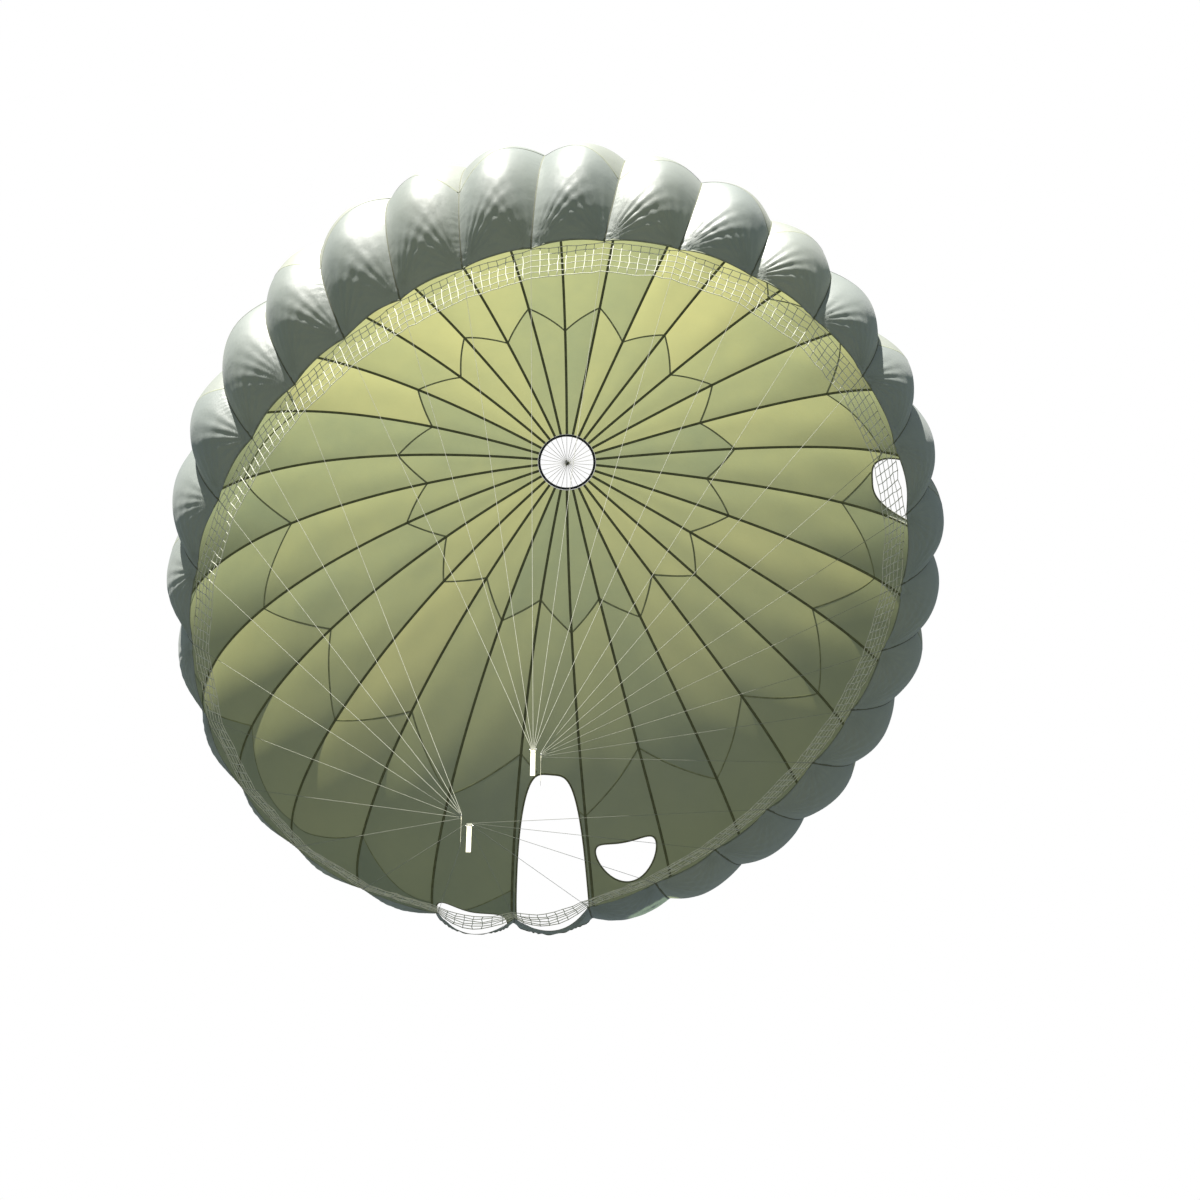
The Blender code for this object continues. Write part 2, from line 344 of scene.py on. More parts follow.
SEAM = woven_material("seam_tape", (0.110, 0.120, 0.070), 0.75, 0.003)
FELL = woven_material("cross_seam", (0.240, 0.260, 0.170), 0.75, 0.003, through=0.05)
CORD = woven_material("line_cord", (0.22, 0.225, 0.165), 0.60, 0.002)
BAND = woven_material("vent_tape", (0.012, 0.018, 0.035), 0.70, 0.003)
NET = woven_material("net_cord", (0.66, 0.67, 0.55), 0.70, 0.002, through=0.15)
WEBBING = woven_material("riser_webbing", (0.50, 0.49, 0.36), 0.75, 0.003)
THREAD = woven_material("sewing_thread", (0.60, 0.60, 0.42), 0.70, 0.001)
STEEL = steel_material()
print("materials:", len(bpy.data.materials))

# %% [markdown]
# ## Mesh helpers
# Everything sewn here is either a sheet or a strip. A strip is a short cross-section carried along a line
# of points, so one function makes seams, tapes, cords of the net and webbing. NumPy works out all the
# points at once.

# %% Strips and joined meshes
def keep(name, points, faces, finish, slot):
    """Makes a mesh object that rides on the part, with the finish it is given; its slot is not used."""
    mesh = bpy.data.meshes.new(name)
    mesh.from_pydata([tuple(p) for p in points], [], faces)
    mesh.shade_smooth()
    mesh.materials.append(finish)
    made = bpy.data.objects.new(name, mesh)
    bpy.context.collection.objects.link(made)
    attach(made, "root")
    return made


def unit(vectors):
    length = np.linalg.norm(vectors, axis=-1, keepdims=True)
    return vectors / np.maximum(length, 1e-12)


def tube_faces(rings, around, closed=False):
    """The faces between rings of points in a row, with end caps unless the row is closed."""
    faces = []
    for row in range(rings if closed else rings - 1):
        below = (row + 1) % rings
        for corner in range(around):
            following = (corner + 1) % around
            faces.append((
                row * around + corner, row * around + following,
                below * around + following, below * around + corner,
            ))
    if not closed:
        faces.append(tuple(reversed(range(around))))
        faces.append(tuple((rings - 1) * around + corner for corner in range(around)))
    return faces


LENS_SHAPE = ((-1, 0), (-0.4, 0.8), (0.4, 0.8), (1, 0), (0.4, -0.8), (-0.4, -0.8))
SQUARE_SHAPE = ((-1, -1), (-1, 1), (1, 1), (1, -1))


def strip(line, sides, normals, half_width, half_thick, shape=LENS_SHAPE, closed=False):
    """A cross-section carried along a line: its points and faces."""
    rows = [line + sides * (half_width * a) + normals * (half_thick * b) for a, b in shape]
    points = np.stack(rows, axis=1).reshape(-1, 3)
    return points, tube_faces(len(line), len(shape), closed)


def joined(parts):
    """Joins several (points, faces) pairs into one."""
    points, faces, start = [], [], 0
    for some_points, some_faces in parts:
        points.append(some_points)
        faces += [tuple(index + start for index in face) for face in some_faces]
        start += len(some_points)
    return np.concatenate(points), faces


def along(line, closed=False):
    """Unit directions along a line of points."""
    if closed:
        return unit(np.roll(line, -1, axis=0) - np.roll(line, 1, axis=0))
    return unit(np.gradient(line, axis=0))


# %% [markdown]
# ## The shape of a gore
# Between its seams the cloth swells outwards, most just above the skirt, where the air fills it into
# lobes. Fine creases make it look like cloth: fans of creases spread from the skirt end of each seam, and
# short ruckles stand beside the seams, because the cloth is a little longer than the cord in it. They are
# a centimetre deep at most, and each gore has its own, from a seeded random generator.

# %% Swell and creases of the cloth
SWELL_AT = (0.0, 0.16, 0.31, 0.45, 0.49, 0.585, 0.69, 0.79, 0.87, 0.935, 0.98, 1.0)
SWELL = (0.00, 0.03, 0.05, 0.07, 0.08, 0.11, 0.14, 0.18, 0.20, 0.18, 0.11, 0.05)
SWELL_LEAN = 0.3
SAGGING = (-96, -108)
HEM_SAG = 0.20
SAG_START = 0.70
SEAM_INSET = 0.0015
SMOOTHING = 12
fine_at = np.linspace(0, 1, 401)
bell = np.exp(-np.linspace(-2, 2, 2 * SMOOTHING + 1) ** 2)
padded_swell = np.pad(np.interp(fine_at, SWELL_AT, SWELL), SMOOTHING, mode="edge")
fine_swell = np.convolve(padded_swell, bell / bell.sum(), mode="valid")


def swell_at(at):
    return np.interp(at, fine_at, fine_swell)


def hem_sag(bearing, at):
    """The hem hangs out below the tall slots, as a share of the gore's width."""
    sagging = any(abs(bearing_gap(bearing, middle)) < 1 for middle in SAGGING)
    return HEM_SAG * np.clip((at - SAG_START) / (1 - SAG_START), 0, 1) ** 2 * sagging


def gore_points(bearing, across, at, swell_scale=1.0):
    """Points, outward directions and widths of a gore, for places across it, -1 to 1, and down it, 0 to 1."""
    first = seam_points(bearing - GORE_STEP / 2, at)
    last = seam_points(bearing + GORE_STEP / 2, at)
    chord = last - first
    width = np.linalg.norm(chord, axis=-1, keepdims=True)
    inset = SEAM_INSET / width
    share = inset + (1 - 2 * inset) * (across[..., None] + 1) / 2
    angle = seam_angle(at)
    outward = np.stack((chord[..., 1], -chord[..., 0], np.zeros_like(at)), axis=-1)
    outward = unit(outward) * (CROWN_HEIGHT * np.sin(angle))[..., None]
    facing = np.sign((outward * heading(bearing)).sum(axis=-1, keepdims=True))
    outward = outward * np.where(facing == 0, 1, facing)
    outward[..., 2] = FULL_RADIUS * np.cos(angle)
    outward = unit(outward)
    lean = 1 + SWELL_LEAN * sin(radians(bearing))
    swell = (swell_at(at) * lean * swell_scale + hem_sag(bearing, at))[..., None] * width
    return first + chord * share + outward * swell * (1 - across[..., None] ** 2), outward, width[..., 0]


FAN_BLADES = (26, 34)
FAN_DEPTH = 0.0085
FAN_START = 0.10
FAN_REACH = 0.48
RUCKLE_PITCH = (0.058, 0.072)
RUCKLE_GROUPS = (0.5, 0.8)
RUCKLE_WANDER = 0.41
RUCKLE_DEPTH = 0.0028
RUCKLE_REACH = 0.045
RUCKLE_TOP = 0.30
BILLOW_PITCH = (1.3, 2.2)
BILLOW_DEPTH = 0.010


def creases(across, at, width, length, randoms):
    """How far the cloth stands out or in at each place, in metres."""
    down = at * length
    raised = np.zeros_like(at)
    for side in (-1, 1):
        to_seam = np.abs(across - side) * width / 2
        to_skirt = (1 - at) * length
        reach = np.sqrt(to_seam**2 + to_skirt**2)
        turn = np.arctan2(to_seam, np.maximum(to_skirt, 1e-6))
        blades = randoms.uniform(*FAN_BLADES)
        phase = randoms.uniform(0, tau)
        fan = np.sin(blades * turn + phase + 0.8 * np.sin(3 * turn + phase))
        fade = np.clip(reach / FAN_START, 0, 1) * np.exp(-((reach / FAN_REACH) ** 2))
        raised += FAN_DEPTH * fan * fade * (0.4 + 0.6 * np.sin(np.clip(turn, 0, pi / 2) * 2))
        wander = 2.2 * np.sin(tau * down / RUCKLE_WANDER + phase)
        ruckle = np.sin(tau * down / randoms.uniform(*RUCKLE_PITCH) + wander)
        group = 0.5 + 0.5 * np.sin(tau * down / randoms.uniform(*RUCKLE_GROUPS) + phase)
        growing = np.clip((at - RUCKLE_TOP) / 0.5, 0, 1)
        raised += RUCKLE_DEPTH * ruckle * group * np.exp(-to_seam / RUCKLE_REACH) * growing
    billow = np.sin(2.1 * across + randoms.uniform(0, tau))
    billow = billow * np.sin(tau * down / randoms.uniform(*BILLOW_PITCH))
    raised += BILLOW_DEPTH * billow * (1 - across**2) * np.clip(at / 0.4, 0, 1)
    return raised * np.clip((1 - across**2) * 12, 0, 1)


# %% [markdown]
# ## Four sections to a gore
# A gore is sewn from four sections cut on the bias, so the seams between them cross it at about 40
# degrees. Where two gores meet, their cross seams meet too, which draws zigzag rings round the canopy.
# The rows of the mesh follow these seams, so each section can have its own tone.

# %% Sections, cross seams and tones
CROSS_SEAMS = ({"low": 0.170, "high": 0.217}, {"low": 0.42, "high": 0.53}, {"low": 0.72, "high": 0.85})
SECTION_ROWS = (36, 56, 62, 66)
ACROSS_STEPS = 44


def low_seam(number):
    return number % 2 == 0


def cross_seam_ends(number, ring):
    """Where a cross seam starts and ends on the two seams of a gore."""
    first_low = low_seam(number - 1)
    ends = (ring["low"], ring["high"])
    return ends if first_low else tuple(reversed(ends))


def row_places(number, across):
    """How far down each row of the gore's mesh lies, at each place across, and the section of each row."""
    edges = [(0.0, 0.0)] + [cross_seam_ends(number, ring) for ring in CROSS_SEAMS] + [(1.0, 1.0)]
    share = (across + 1) / 2
    rows = []
    sections = []
    for section, steps in enumerate(SECTION_ROWS):
        top = edges[section][0] + (edges[section][1] - edges[section][0]) * share
        bottom = edges[section + 1][0] + (edges[section + 1][1] - edges[section + 1][0]) * share
        for step in range(steps):
            rows.append(top + (bottom - top) * step / steps)
            sections.append(section)
    rows.append(np.full_like(across, 1.0))
    return np.array(rows), sections


print("mesh rows in a gore:", sum(SECTION_ROWS) + 1, "places across:", ACROSS_STEPS + 1)

# %% [markdown]
# ## Steering slots
# Four gores have openings that let air out, so that the canopy drives forward and turns. Each opening is
# a rounded shape on the flat gore. The mesh is clipped along that shape cell by cell, which keeps its
# edge smooth.

# %% Slot shapes and the clipping of a grid
SLOTS = (
    {"bearing": 0, "top": 0.490, "bottom": 0.785, "half": 0.90, "round": 3.0, "taper": 0.0, "bend": 0.0},
    {"bearing": -84, "top": 0.548, "bottom": 0.648, "half": 0.84, "round": 2.0, "taper": 0.0, "bend": 0.045},
    {"bearing": -96, "top": 0.452, "bottom": 0.975, "half": 0.93, "round": 4.0, "taper": 0.02, "bend": 0.0},
    {"bearing": -108, "top": 0.780, "bottom": 0.975, "half": 0.90, "round": 3.0, "taper": 0.0, "bend": 0.015},
)


def slot_of(bearing):
    for slot in SLOTS:
        if abs(bearing_gap(slot["bearing"], bearing)) < 1:
            return slot
    return None


def slot_outside(slot, across, at):
    """Above 0 outside the opening, below 0 inside it."""
    middle = (slot["top"] + slot["bottom"]) / 2
    half = (slot["bottom"] - slot["top"]) / 2
    down = (at - slot["bend"] * (1 - across**2) - middle) / half
    side = across / (slot["half"] * (1 + slot["taper"] * np.clip(down, -1, 1) - slot["taper"]))
    return (np.abs(side) ** slot["round"] + np.abs(down) ** slot["round"]) ** (1 / slot["round"]) - 1


def slot_outline(slot, count=120):
    """Places across and down once round the opening."""
    turns = np.linspace(0, tau, count, endpoint=False)
    power = slot["round"]
    size = (np.abs(np.cos(turns)) ** power + np.abs(np.sin(turns)) ** power) ** (-1 / power)
    side, down = size * np.cos(turns), size * np.sin(turns)
    across = side * slot["half"] * (1 + slot["taper"] * down - slot["taper"])
    middle = (slot["top"] + slot["bottom"]) / 2
    half = (slot["bottom"] - slot["top"]) / 2
    return across, middle + half * down + slot["bend"] * (1 - across**2)


def clipped(across, at, outside, faces):
    """Cuts faces along the zero of a value given at each point; returns the new places and faces."""
    places = [(a, b) for a, b in zip(across, at)]
    cut = {}
    kept = []
    origin = []

    def crossing(i, j):
        key = (min(i, j), max(i, j))
        if key not in cut:
            share = outside[key[0]] / (outside[key[0]] - outside[key[1]])
            first, second = places[key[0]], places[key[1]]
            places.append(tuple(p + (q - p) * share for p, q in zip(first, second)))
            cut[key] = len(places) - 1
        return cut[key]

    for number, face in enumerate(faces):
        if all(outside[i] >= 0 for i in face):
            kept.append(face)
            origin.append(number)
            continue
        if all(outside[i] < 0 for i in face):
            continue
        corners = []
        for place, i in enumerate(face):
            j = face[(place + 1) % len(face)]
            if outside[i] >= 0:
                corners.append(i)
            if (outside[i] >= 0) != (outside[j] >= 0):
                corners.append(crossing(i, j))
        if len(corners) > 2:
            kept.append(tuple(corners))
            origin.append(number)
    used = sorted({i for face in kept for i in face})
    renumber = {old: new for new, old in enumerate(used)}
    kept = [tuple(renumber[i] for i in face) for face in kept]
    new_places = np.array([places[i] for i in used])
    return new_places[:, 0], new_places[:, 1], kept, origin


# %% [markdown]
# ## The gores
# Each gore is one thin mesh. All thirty are cut alike, so they share one flat size, and only a slotted
# gore has less cloth.

# %% Thirty sheets of cloth
# The outermost section's low value is painted shade toward the skirt; the other three and the spread are the
# cloth's own lightness.
SECTION_TONES_AND_SHADE = (0.50, 0.54, 0.52, 0.10)
TONE_SPREAD = 0.13
PAINTED_LIGHT_WAVE = 0.10
SWELL_SPREAD = (0.93, 1.05)
FIRST_SEED = 100


def flat_area(bearing):
    """The area of a gore without its creases and its slot."""
    grid_across, grid_at = np.meshgrid(np.linspace(-1, 1, 17), np.linspace(0, 1, 60))
    points, _, _ = gore_points(bearing, grid_across, grid_at)
    a = points[1:, :-1] - points[:-1, :-1]
    b = points[:-1, 1:] - points[:-1, :-1]
    return float(np.linalg.norm(np.cross(a, b), axis=-1).sum())


def gore_randoms(number):
    return np.random.default_rng(FIRST_SEED + number)


def finished_gore(number, across, at, randoms):
    """Points on a gore with its own swell and creases, the directions out of it and its width there."""
    bearing = seam_bearing(number) - GORE_STEP / 2
    points, outward, width = gore_points(bearing, across, at, randoms.uniform(*SWELL_SPREAD))
    raised = creases(across, at, width, seam_lengths[number], randoms)
    return points + outward * raised[:, None], outward, width


MEAN_AREA = float(np.mean([flat_area(seam_bearing(n) - GORE_STEP / 2) for n in range(GORES)]))
for number in range(GORES):
    bearing = seam_bearing(number) - GORE_STEP / 2
    randoms = gore_randoms(number)
    columns = np.linspace(-1, 1, ACROSS_STEPS + 1)
    rows, row_sections = row_places(number, columns)
    grid_across = np.tile(columns, (len(rows), 1)).ravel()
    grid_at = rows.ravel()
    faces = []
    sections = []
    for row, section in enumerate(row_sections):
        for column in range(ACROSS_STEPS):
            corner = row * len(columns) + column
            faces.append((corner, corner + 1, corner + len(columns) + 1, corner + len(columns)))
            sections.append(section)
    slot = slot_of(bearing)
    if slot:
        outside = slot_outside(slot, grid_across, grid_at)
        grid_across, grid_at, faces, origin = clipped(grid_across, grid_at, outside, faces)
        sections = [sections[i] for i in origin]
    points, _, width = finished_gore(number, grid_across, grid_at, randoms)
    piece = keep(f"gore_cloth_{number + 1:02d}", points, faces, CLOTH, "canopy_cloth")
    mesh = piece.data
    # Painted light and shade: sections are lighter or darker by their bearing round the canopy, four times
    # round.
    painted_light = PAINTED_LIGHT_WAVE * cos(radians(4 * bearing))
    shades = [SECTION_TONES_AND_SHADE[s] - painted_light + randoms.uniform(-TONE_SPREAD, TONE_SPREAD) for s in range(len(SECTION_ROWS))]
    tone_and_shade = mesh.attributes.new("tone_and_shade", "FLOAT", "FACE")
    tone_and_shade.data.foreach_set("value", [shades[s] for s in sections])
    cut = mesh.uv_layers.new(name="cut")
    flat = np.stack((grid_across * width / 2, grid_at * seam_lengths[number]), axis=-1)
    turned = np.stack((flat[:, 0] + flat[:, 1], flat[:, 1] - flat[:, 0]), axis=-1) / sqrt(2)
    corners = np.empty(len(mesh.loops), dtype=np.int32)
    mesh.loops.foreach_get("vertex_index", corners)
    cut.data.foreach_set("uv", turned[corners].astype(np.float32).ravel())
    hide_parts(f"gore_{number + 1:02d}")

# %% [markdown]
# ## Sheets and seams
# A radial seam is a folded channel that the cord runs through, so it is a strip 25 mm wide, thickest over
# the cord. A cross seam is a flat felled seam, two folded edges sewn together. Both look dark against the
# glowing cloth, because more layers let less light through. Each cross seam follows a row of the gore's
# mesh.

# %% Radial seams over the cords
SEAM_HALF = 0.0125
SEAM_THICK = 0.0034
SEAM_STEPS = 170


def seam_frame(number, at):
    """A seam's line, the direction across it on the cloth and the direction out of the cloth."""
    line = seam_points(seam_bearing(number), at)
    direction = along(line)
    angle = seam_angle(at)
    out = heading(np.full_like(at, seam_bearing(number))) * (CROWN_HEIGHT * np.sin(angle))[:, None]
    out[:, 2] = FULL_RADIUS * np.cos(angle)
    side = unit(np.cross(direction, unit(out)))
    return line, side, unit(np.cross(side, direction))


seam_pieces = []
for number in range(GORES):
    places = np.linspace(0, 1, SEAM_STEPS)
    line, side, out = seam_frame(number, places)
    points, faces = strip(line, side, out, SEAM_HALF, SEAM_THICK)
    piece = keep(f"radial_seam_{number + 1:02d}", points, faces, SEAM, "canopy_cloth")
    seam_pieces.append(piece)
print("radial seams:", len(seam_pieces))

# %% Cross seams, hems and slot bindings of each gore
CROSS_HALF = 0.0085
CROSS_THICK = 0.0012
HEM_HALF = 0.011
HEM_THICK = 0.0016
HEM_AT = 0.998
BINDING_HALF = 0.011
SEAM_REACH = 0.985
SLOT_CLEARANCE = 0.02


def sewn(number, across, at, half_width, half_thick, closed=False):
    """A strip sewn along a path on a gore."""
    line, out, _ = finished_gore(number, across, at, gore_randoms(number))
    direction = along(line, closed)
    side = unit(np.cross(direction, out))
    return strip(line, side, unit(np.cross(side, direction)), half_width, half_thick, closed=closed)


trim_pieces = {}
for number in range(GORES):
    bearing = seam_bearing(number) - GORE_STEP / 2
    across = np.linspace(-SEAM_REACH, SEAM_REACH, 60)
    parts = []
    slot = slot_of(bearing)
    for ring in CROSS_SEAMS:
        first, last = cross_seam_ends(number, ring)
        at = first + (last - first) * (across + 1) / 2
        cloth = np.ones_like(across, dtype=bool)
        if slot:
            cloth = slot_outside(slot, across, at) > SLOT_CLEARANCE
        runs = np.split(np.arange(len(across)), np.flatnonzero(np.diff(cloth.astype(int))) + 1)
        for run in runs:
            if cloth[run[0]] and len(run) > 3:
                parts.append(sewn(number, across[run], at[run], CROSS_HALF, CROSS_THICK))
    parts.append(sewn(number, across, np.full_like(across, HEM_AT), HEM_HALF, HEM_THICK))
    points, faces = joined(parts)
    piece = keep(f"cross_seams_{number + 1:02d}", points, faces, FELL, "canopy_cloth")
    trim_pieces[number] = [piece]
    if slot:
        edge_across, edge_at = slot_outline(slot)
        points, faces = sewn(number, edge_across, edge_at, BINDING_HALF, HEM_THICK, closed=True)
        piece = keep(f"slot_binding_{number + 1:02d}", points, faces, SEAM, "canopy_cloth")
        trim_pieces[number].append(piece)

# %% [markdown]
# ## The cords
# A line is one cord that starts at a link, rises to the skirt, runs up a seam, crosses the vent and comes
# down the opposite seam to another link. It is pulled tight by the load, so it is straight where it is
# free.

# %% Links and the ends of the lines
def link_centre(link):
    load = SKIRT_SLIDE + LOAD_SWING - UP * (RING_DROP + LINE_DROP)
    shoulder = SHOULDER_HALF * link["side"] * heading(SHOULDER_BEARING)
    return load + shoulder + LINK_OFFSET * heading(link["bearing"])


def link_of(bearing):
    return min(LINKS, key=lambda link: abs(bearing_gap(bearing, link["bearing"])))


def line_end(bearing):
    link = link_of(bearing)
    place = bearing_gap(bearing, link["bearing"]) / GORE_STEP
    along_rod = heading(link["bearing"] + 90)
    return link_centre(link) + along_rod * (place * LINE_PITCH) + UP * (LINK_HEIGHT / 2 + FIT)


for link in LINKS:
    print(link["name"], "link at", np.round(link_centre(link), 3))

# %% Fifteen through lines
SEAM_KNOTS = 44


def line_route(number):
    """The route of one line, from its first link to its second."""
    bearing = seam_bearing(number)
    places = np.linspace(1, 0, SEAM_KNOTS)
    lead = UP * LINE_LEAD
    crossing = np.array((0.0, 0.0, -CROSSING_STEP * number))
    return np.concatenate((
        [line_end(bearing), line_end(bearing) + lead],
        seam_points(bearing, places),
        [crossing],
        seam_points(bearing + 180, places[::-1]),
        [line_end(bearing + 180) + lead, line_end(bearing + 180)],
    ))


line_lengths = []
for number in range(GORES // 2):
    route = line_route(number)
    curve = bpy.data.curves.new(f"line_cord_{number + 1:02d}", "CURVE")
    curve.dimensions = "3D"
    curve.bevel_depth = LINE_DIAMETER / 2
    curve.bevel_resolution = 2
    curve.use_fill_caps = True
    spline = curve.splines.new("POLY")
    spline.points.add(len(route) - 1)
    for point, place in zip(spline.points, route):
        point.co = (*place, 1)
    curve.materials.append(CORD)
    cord = bpy.data.objects.new(curve.name, curve)
    bpy.context.collection.objects.link(cord)
    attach(cord, "root")
    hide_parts(f"line_{number + 1:02d}")
    length = float(np.linalg.norm(np.diff(route, axis=0), axis=1).sum())
    line_lengths.append(length)
print("lines:", len(line_lengths), "of", round(min(line_lengths), 2), "to", round(max(line_lengths), 2), "m")

# %% [markdown]
# ## The skirt net
# Below the skirt hangs an open net of square mesh. It keeps a gore from blowing through between two
# lines. Level and upright strings, thin and square, cross at small knots. The net is tied to every line,
# and hangs out with the hem below the tall slots.

# %% Net strings and knots
NET_DEPTH = 0.457
NET_HEAD = 0.003
NET_INSET = 0.0050
NET_ROWS = 5
NET_COLUMNS = 8
STRING_HALF = 0.0031
KNOT_HALF = 0.0058
NET_SLACK = 0.004


def net_corner(number, depth):
    bearing = seam_bearing(number)
    hem = seam_points(bearing, 1.0)
    down = unit(line_end(bearing) + UP * LINE_LEAD - hem)
    inward = SKIRT_SLIDE - hem
    inward[2] = 0
    return hem + down * depth + unit(inward) * NET_INSET


depths = [NET_HEAD + NET_DEPTH * row / NET_ROWS for row in range(NET_ROWS + 1)]
net_randoms = np.random.default_rng(5)
grid = []
for depth in depths:
    ring = []
    for number in range(GORES):
        first, last = net_corner(number, depth), net_corner((number + 1) % GORES, depth)
        for column in range(NET_COLUMNS):
            share = column / NET_COLUMNS
            slack = NET_SLACK * net_randoms.normal(size=3) * (column > 0)
            sag = hem_sag(seam_bearing(number) + GORE_STEP / 2, 1.0) * 4 * share * (1 - share)
            away = heading(seam_bearing(number) + GORE_STEP / 2) * sag * np.linalg.norm(last - first)
            ring.append(first + (last - first) * share + slack + away * (1 - 0.5 * depth / NET_DEPTH))
    grid.append(np.array(ring))
grid = np.array(grid)
net_middle = grid.mean(axis=(0, 1))
inward = unit(net_middle - grid)
parts = []
for row in range(NET_ROWS + 1):
    line = grid[row]
    side = unit(np.cross(along(line, closed=True), inward[row]))
    parts.append(strip(line, side, inward[row], STRING_HALF, STRING_HALF, SQUARE_SHAPE, closed=True))
for column in range(grid.shape[1]):
    line = grid[:, column]
    side = unit(np.cross(along(line), inward[:, column]))
    parts.append(strip(line, side, inward[:, column], STRING_HALF, STRING_HALF, SQUARE_SHAPE))
KNOT_POINTS = np.array(((1, 0, 0), (-1, 0, 0), (0, 1, 0), (0, -1, 0), (0, 0, 1), (0, 0, -1))) * KNOT_HALF
KNOT_FACES = [(0, 2, 4), (2, 1, 4), (1, 3, 4), (3, 0, 4), (2, 0, 5), (1, 2, 5), (3, 1, 5), (0, 3, 5)]
for place in grid.reshape(-1, 3):
    parts.append((KNOT_POINTS + place, KNOT_FACES))
net = keep("net_strings", *joined(parts), NET, "netting")
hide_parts("skirt_net")
print("net strings:", NET_ROWS + 1, "level and", grid.shape[1], "upright")

# %% [markdown]
# ## The vent
# The vent is a round hole at the top with a dark tape round its rim. The lines cross in its middle, where
# a short lashing holds them together. The tape is thickest along its middle.

# %% Vent tape and lashing
BAND_WIDTH = 0.024
BAND_THICK = 0.002
BAND_GAP = 0.003
LASH_RADIUS = 0.011
LASH_TURNS = 9
LASH_CORD = 0.0016
around = np.linspace(0, 360, 180, endpoint=False)
band_height = LINE_DIAMETER / 2 + FIT + BAND_THICK / 2
band_middle = VENT_RADIUS - BAND_GAP - BAND_WIDTH / 2
out = heading(around)
ring_line = out * band_middle + UP * band_height
ups = np.tile(UP, (len(around), 1))
tape = strip(ring_line, out, ups, BAND_WIDTH / 2, BAND_THICK / 2, closed=True)
vent_tape = keep("vent_tape", *tape, BAND, "vent_tape")
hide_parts("vent_band")
turns = np.linspace(0, tau * LASH_TURNS, 24 * LASH_TURNS)
lash_height = CROSSING_STEP * (GORES // 2 - 1)
lash_line = np.stack((
    LASH_RADIUS * np.cos(turns), LASH_RADIUS * np.sin(turns), -lash_height * turns / turns[-1],
), axis=-1)
lash_out = unit(lash_line * (1, 1, 0))
lash_side = unit(np.cross(along(lash_line), lash_out))
lash = strip(lash_line, lash_side, lash_out, 2 * LASH_CORD, LASH_CORD, LENS_SHAPE)
keep("vent_lashing", *lash, BAND, "vent_tape")
print("vent", round(2 * (band_middle - BAND_WIDTH / 2), 3), "m across inside its tape")

# %% [markdown]
# ## Links, line loops and risers
# Each group of lines ends on a small steel link, and a webbing riser with a sewn eye hangs from the same
# link. The links are round rod bent to a rounded rectangle, with a barrel nut that closes them on one
# side.

# %% Steel links with their nuts
LINK_CORNER = 0.009
NUT_RADIUS = 0.0052
NUT_LENGTH = 0.017


def placed(points, link, centre):
    """Turns points whose X is the link's width, Y its depth and Z its height, and moves them to a centre."""
    side = heading(link["bearing"] + 90)
    depth = np.cross(UP, side)
    return points[:, 0:1] * side + points[:, 1:2] * depth + points[:, 2:3] * UP + centre


def rounded_rectangle(half_width, half_height, corner, steps):
    places = []
    for quarter, (side, rise) in enumerate(((1, 1), (-1, 1), (-1, -1), (1, -1))):
        for step in range(steps):
            angle = radians(90 * (quarter + step / (steps - 1)))
            places.append((
                side * (half_width - corner) + corner * cos(angle), 0.0,
                rise * (half_height - corner) + corner * sin(angle),
            ))
    return np.array(places)


ROUND_SHAPE = [(cos(tau * i / 12), sin(tau * i / 12)) for i in range(12)]
HEX_SHAPE = [(cos(tau * i / 6), sin(tau * i / 6)) for i in range(6)]


def link_mesh(link):
    rod = LINK_ROD / 2
    path = rounded_rectangle(LINK_WIDTH / 2 - rod, LINK_HEIGHT / 2 - rod, LINK_CORNER - rod, 8)
    depth = np.tile(np.array((0.0, 1.0, 0.0)), (len(path), 1))
    side = unit(np.cross(along(path, closed=True), depth))
    ring = strip(path, side, depth, rod, rod, ROUND_SHAPE, closed=True)
    nut_x = LINK_WIDTH / 2 - rod
    lengths = np.array((-1.0, -0.86, 0.86, 1.0)) * NUT_LENGTH / 2
    radii = np.array((0.8, 1.0, 1.0, 0.8)) * NUT_RADIUS
    nut_points = np.array([(nut_x + r * a, r * b, z) for z, r in zip(lengths, radii) for a, b in HEX_SHAPE])
    points, faces = joined([ring, (nut_points, tube_faces(len(lengths), len(HEX_SHAPE)))])
    return placed(points, link, link_centre(link)), faces


for link in LINKS:
    piece = keep(f"steel_link_{link['name']}", *link_mesh(link), STEEL, "link_steel")
    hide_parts(f"link_{link['name']}")
print("links:", len(LINKS))

# %% Loops that tie the lines to the links
LOOP_CORD = 0.0017
LOOP_RISE = 0.030
WHIP_RADIUS = 0.0031


def loop_mesh(bearing):
    """A line's loop round the upper rod, with its whipping just above."""
    link = link_of(bearing)
    end = line_end(bearing)
    rod_middle = end - UP * (LINK_ROD / 2 + FIT)
    depth = heading(link["bearing"])
    turns = np.linspace(-0.38 * tau, 0.88 * tau, 26)
    reach = LINK_ROD / 2 + LOOP_CORD
    ring = rod_middle + depth * (reach * np.cos(turns))[:, None] + UP * (reach * np.sin(turns))[:, None]
    side = np.tile(heading(link["bearing"] + 90), (len(ring), 1))
    loop = strip(ring, side, unit(ring - rod_middle), LOOP_CORD, LOOP_CORD, ROUND_SHAPE)
    heights = np.array((0.002, 0.004, 0.012, LOOP_RISE, LOOP_RISE + 0.002))
    radii = np.array((0.4, 1.0, 1.0, 0.85, 0.5)) * WHIP_RADIUS
    circle = np.array([(a, b, 0.0) for a, b in ROUND_SHAPE])
    rows = [end + UP * height + radius * circle for height, radius in zip(heights, radii)]
    return joined([loop, (np.concatenate(rows), tube_faces(len(rows), len(ROUND_SHAPE)))])


for link in LINKS:
    mine = [seam_bearing(n) for n in range(GORES) if link_of(seam_bearing(n)) is link]
    keep(f"line_loops_{link['name']}", *joined([loop_mesh(b) for b in mine]), CORD, "line_cord")
    print(link["name"], "holds", len(mine), "lines")

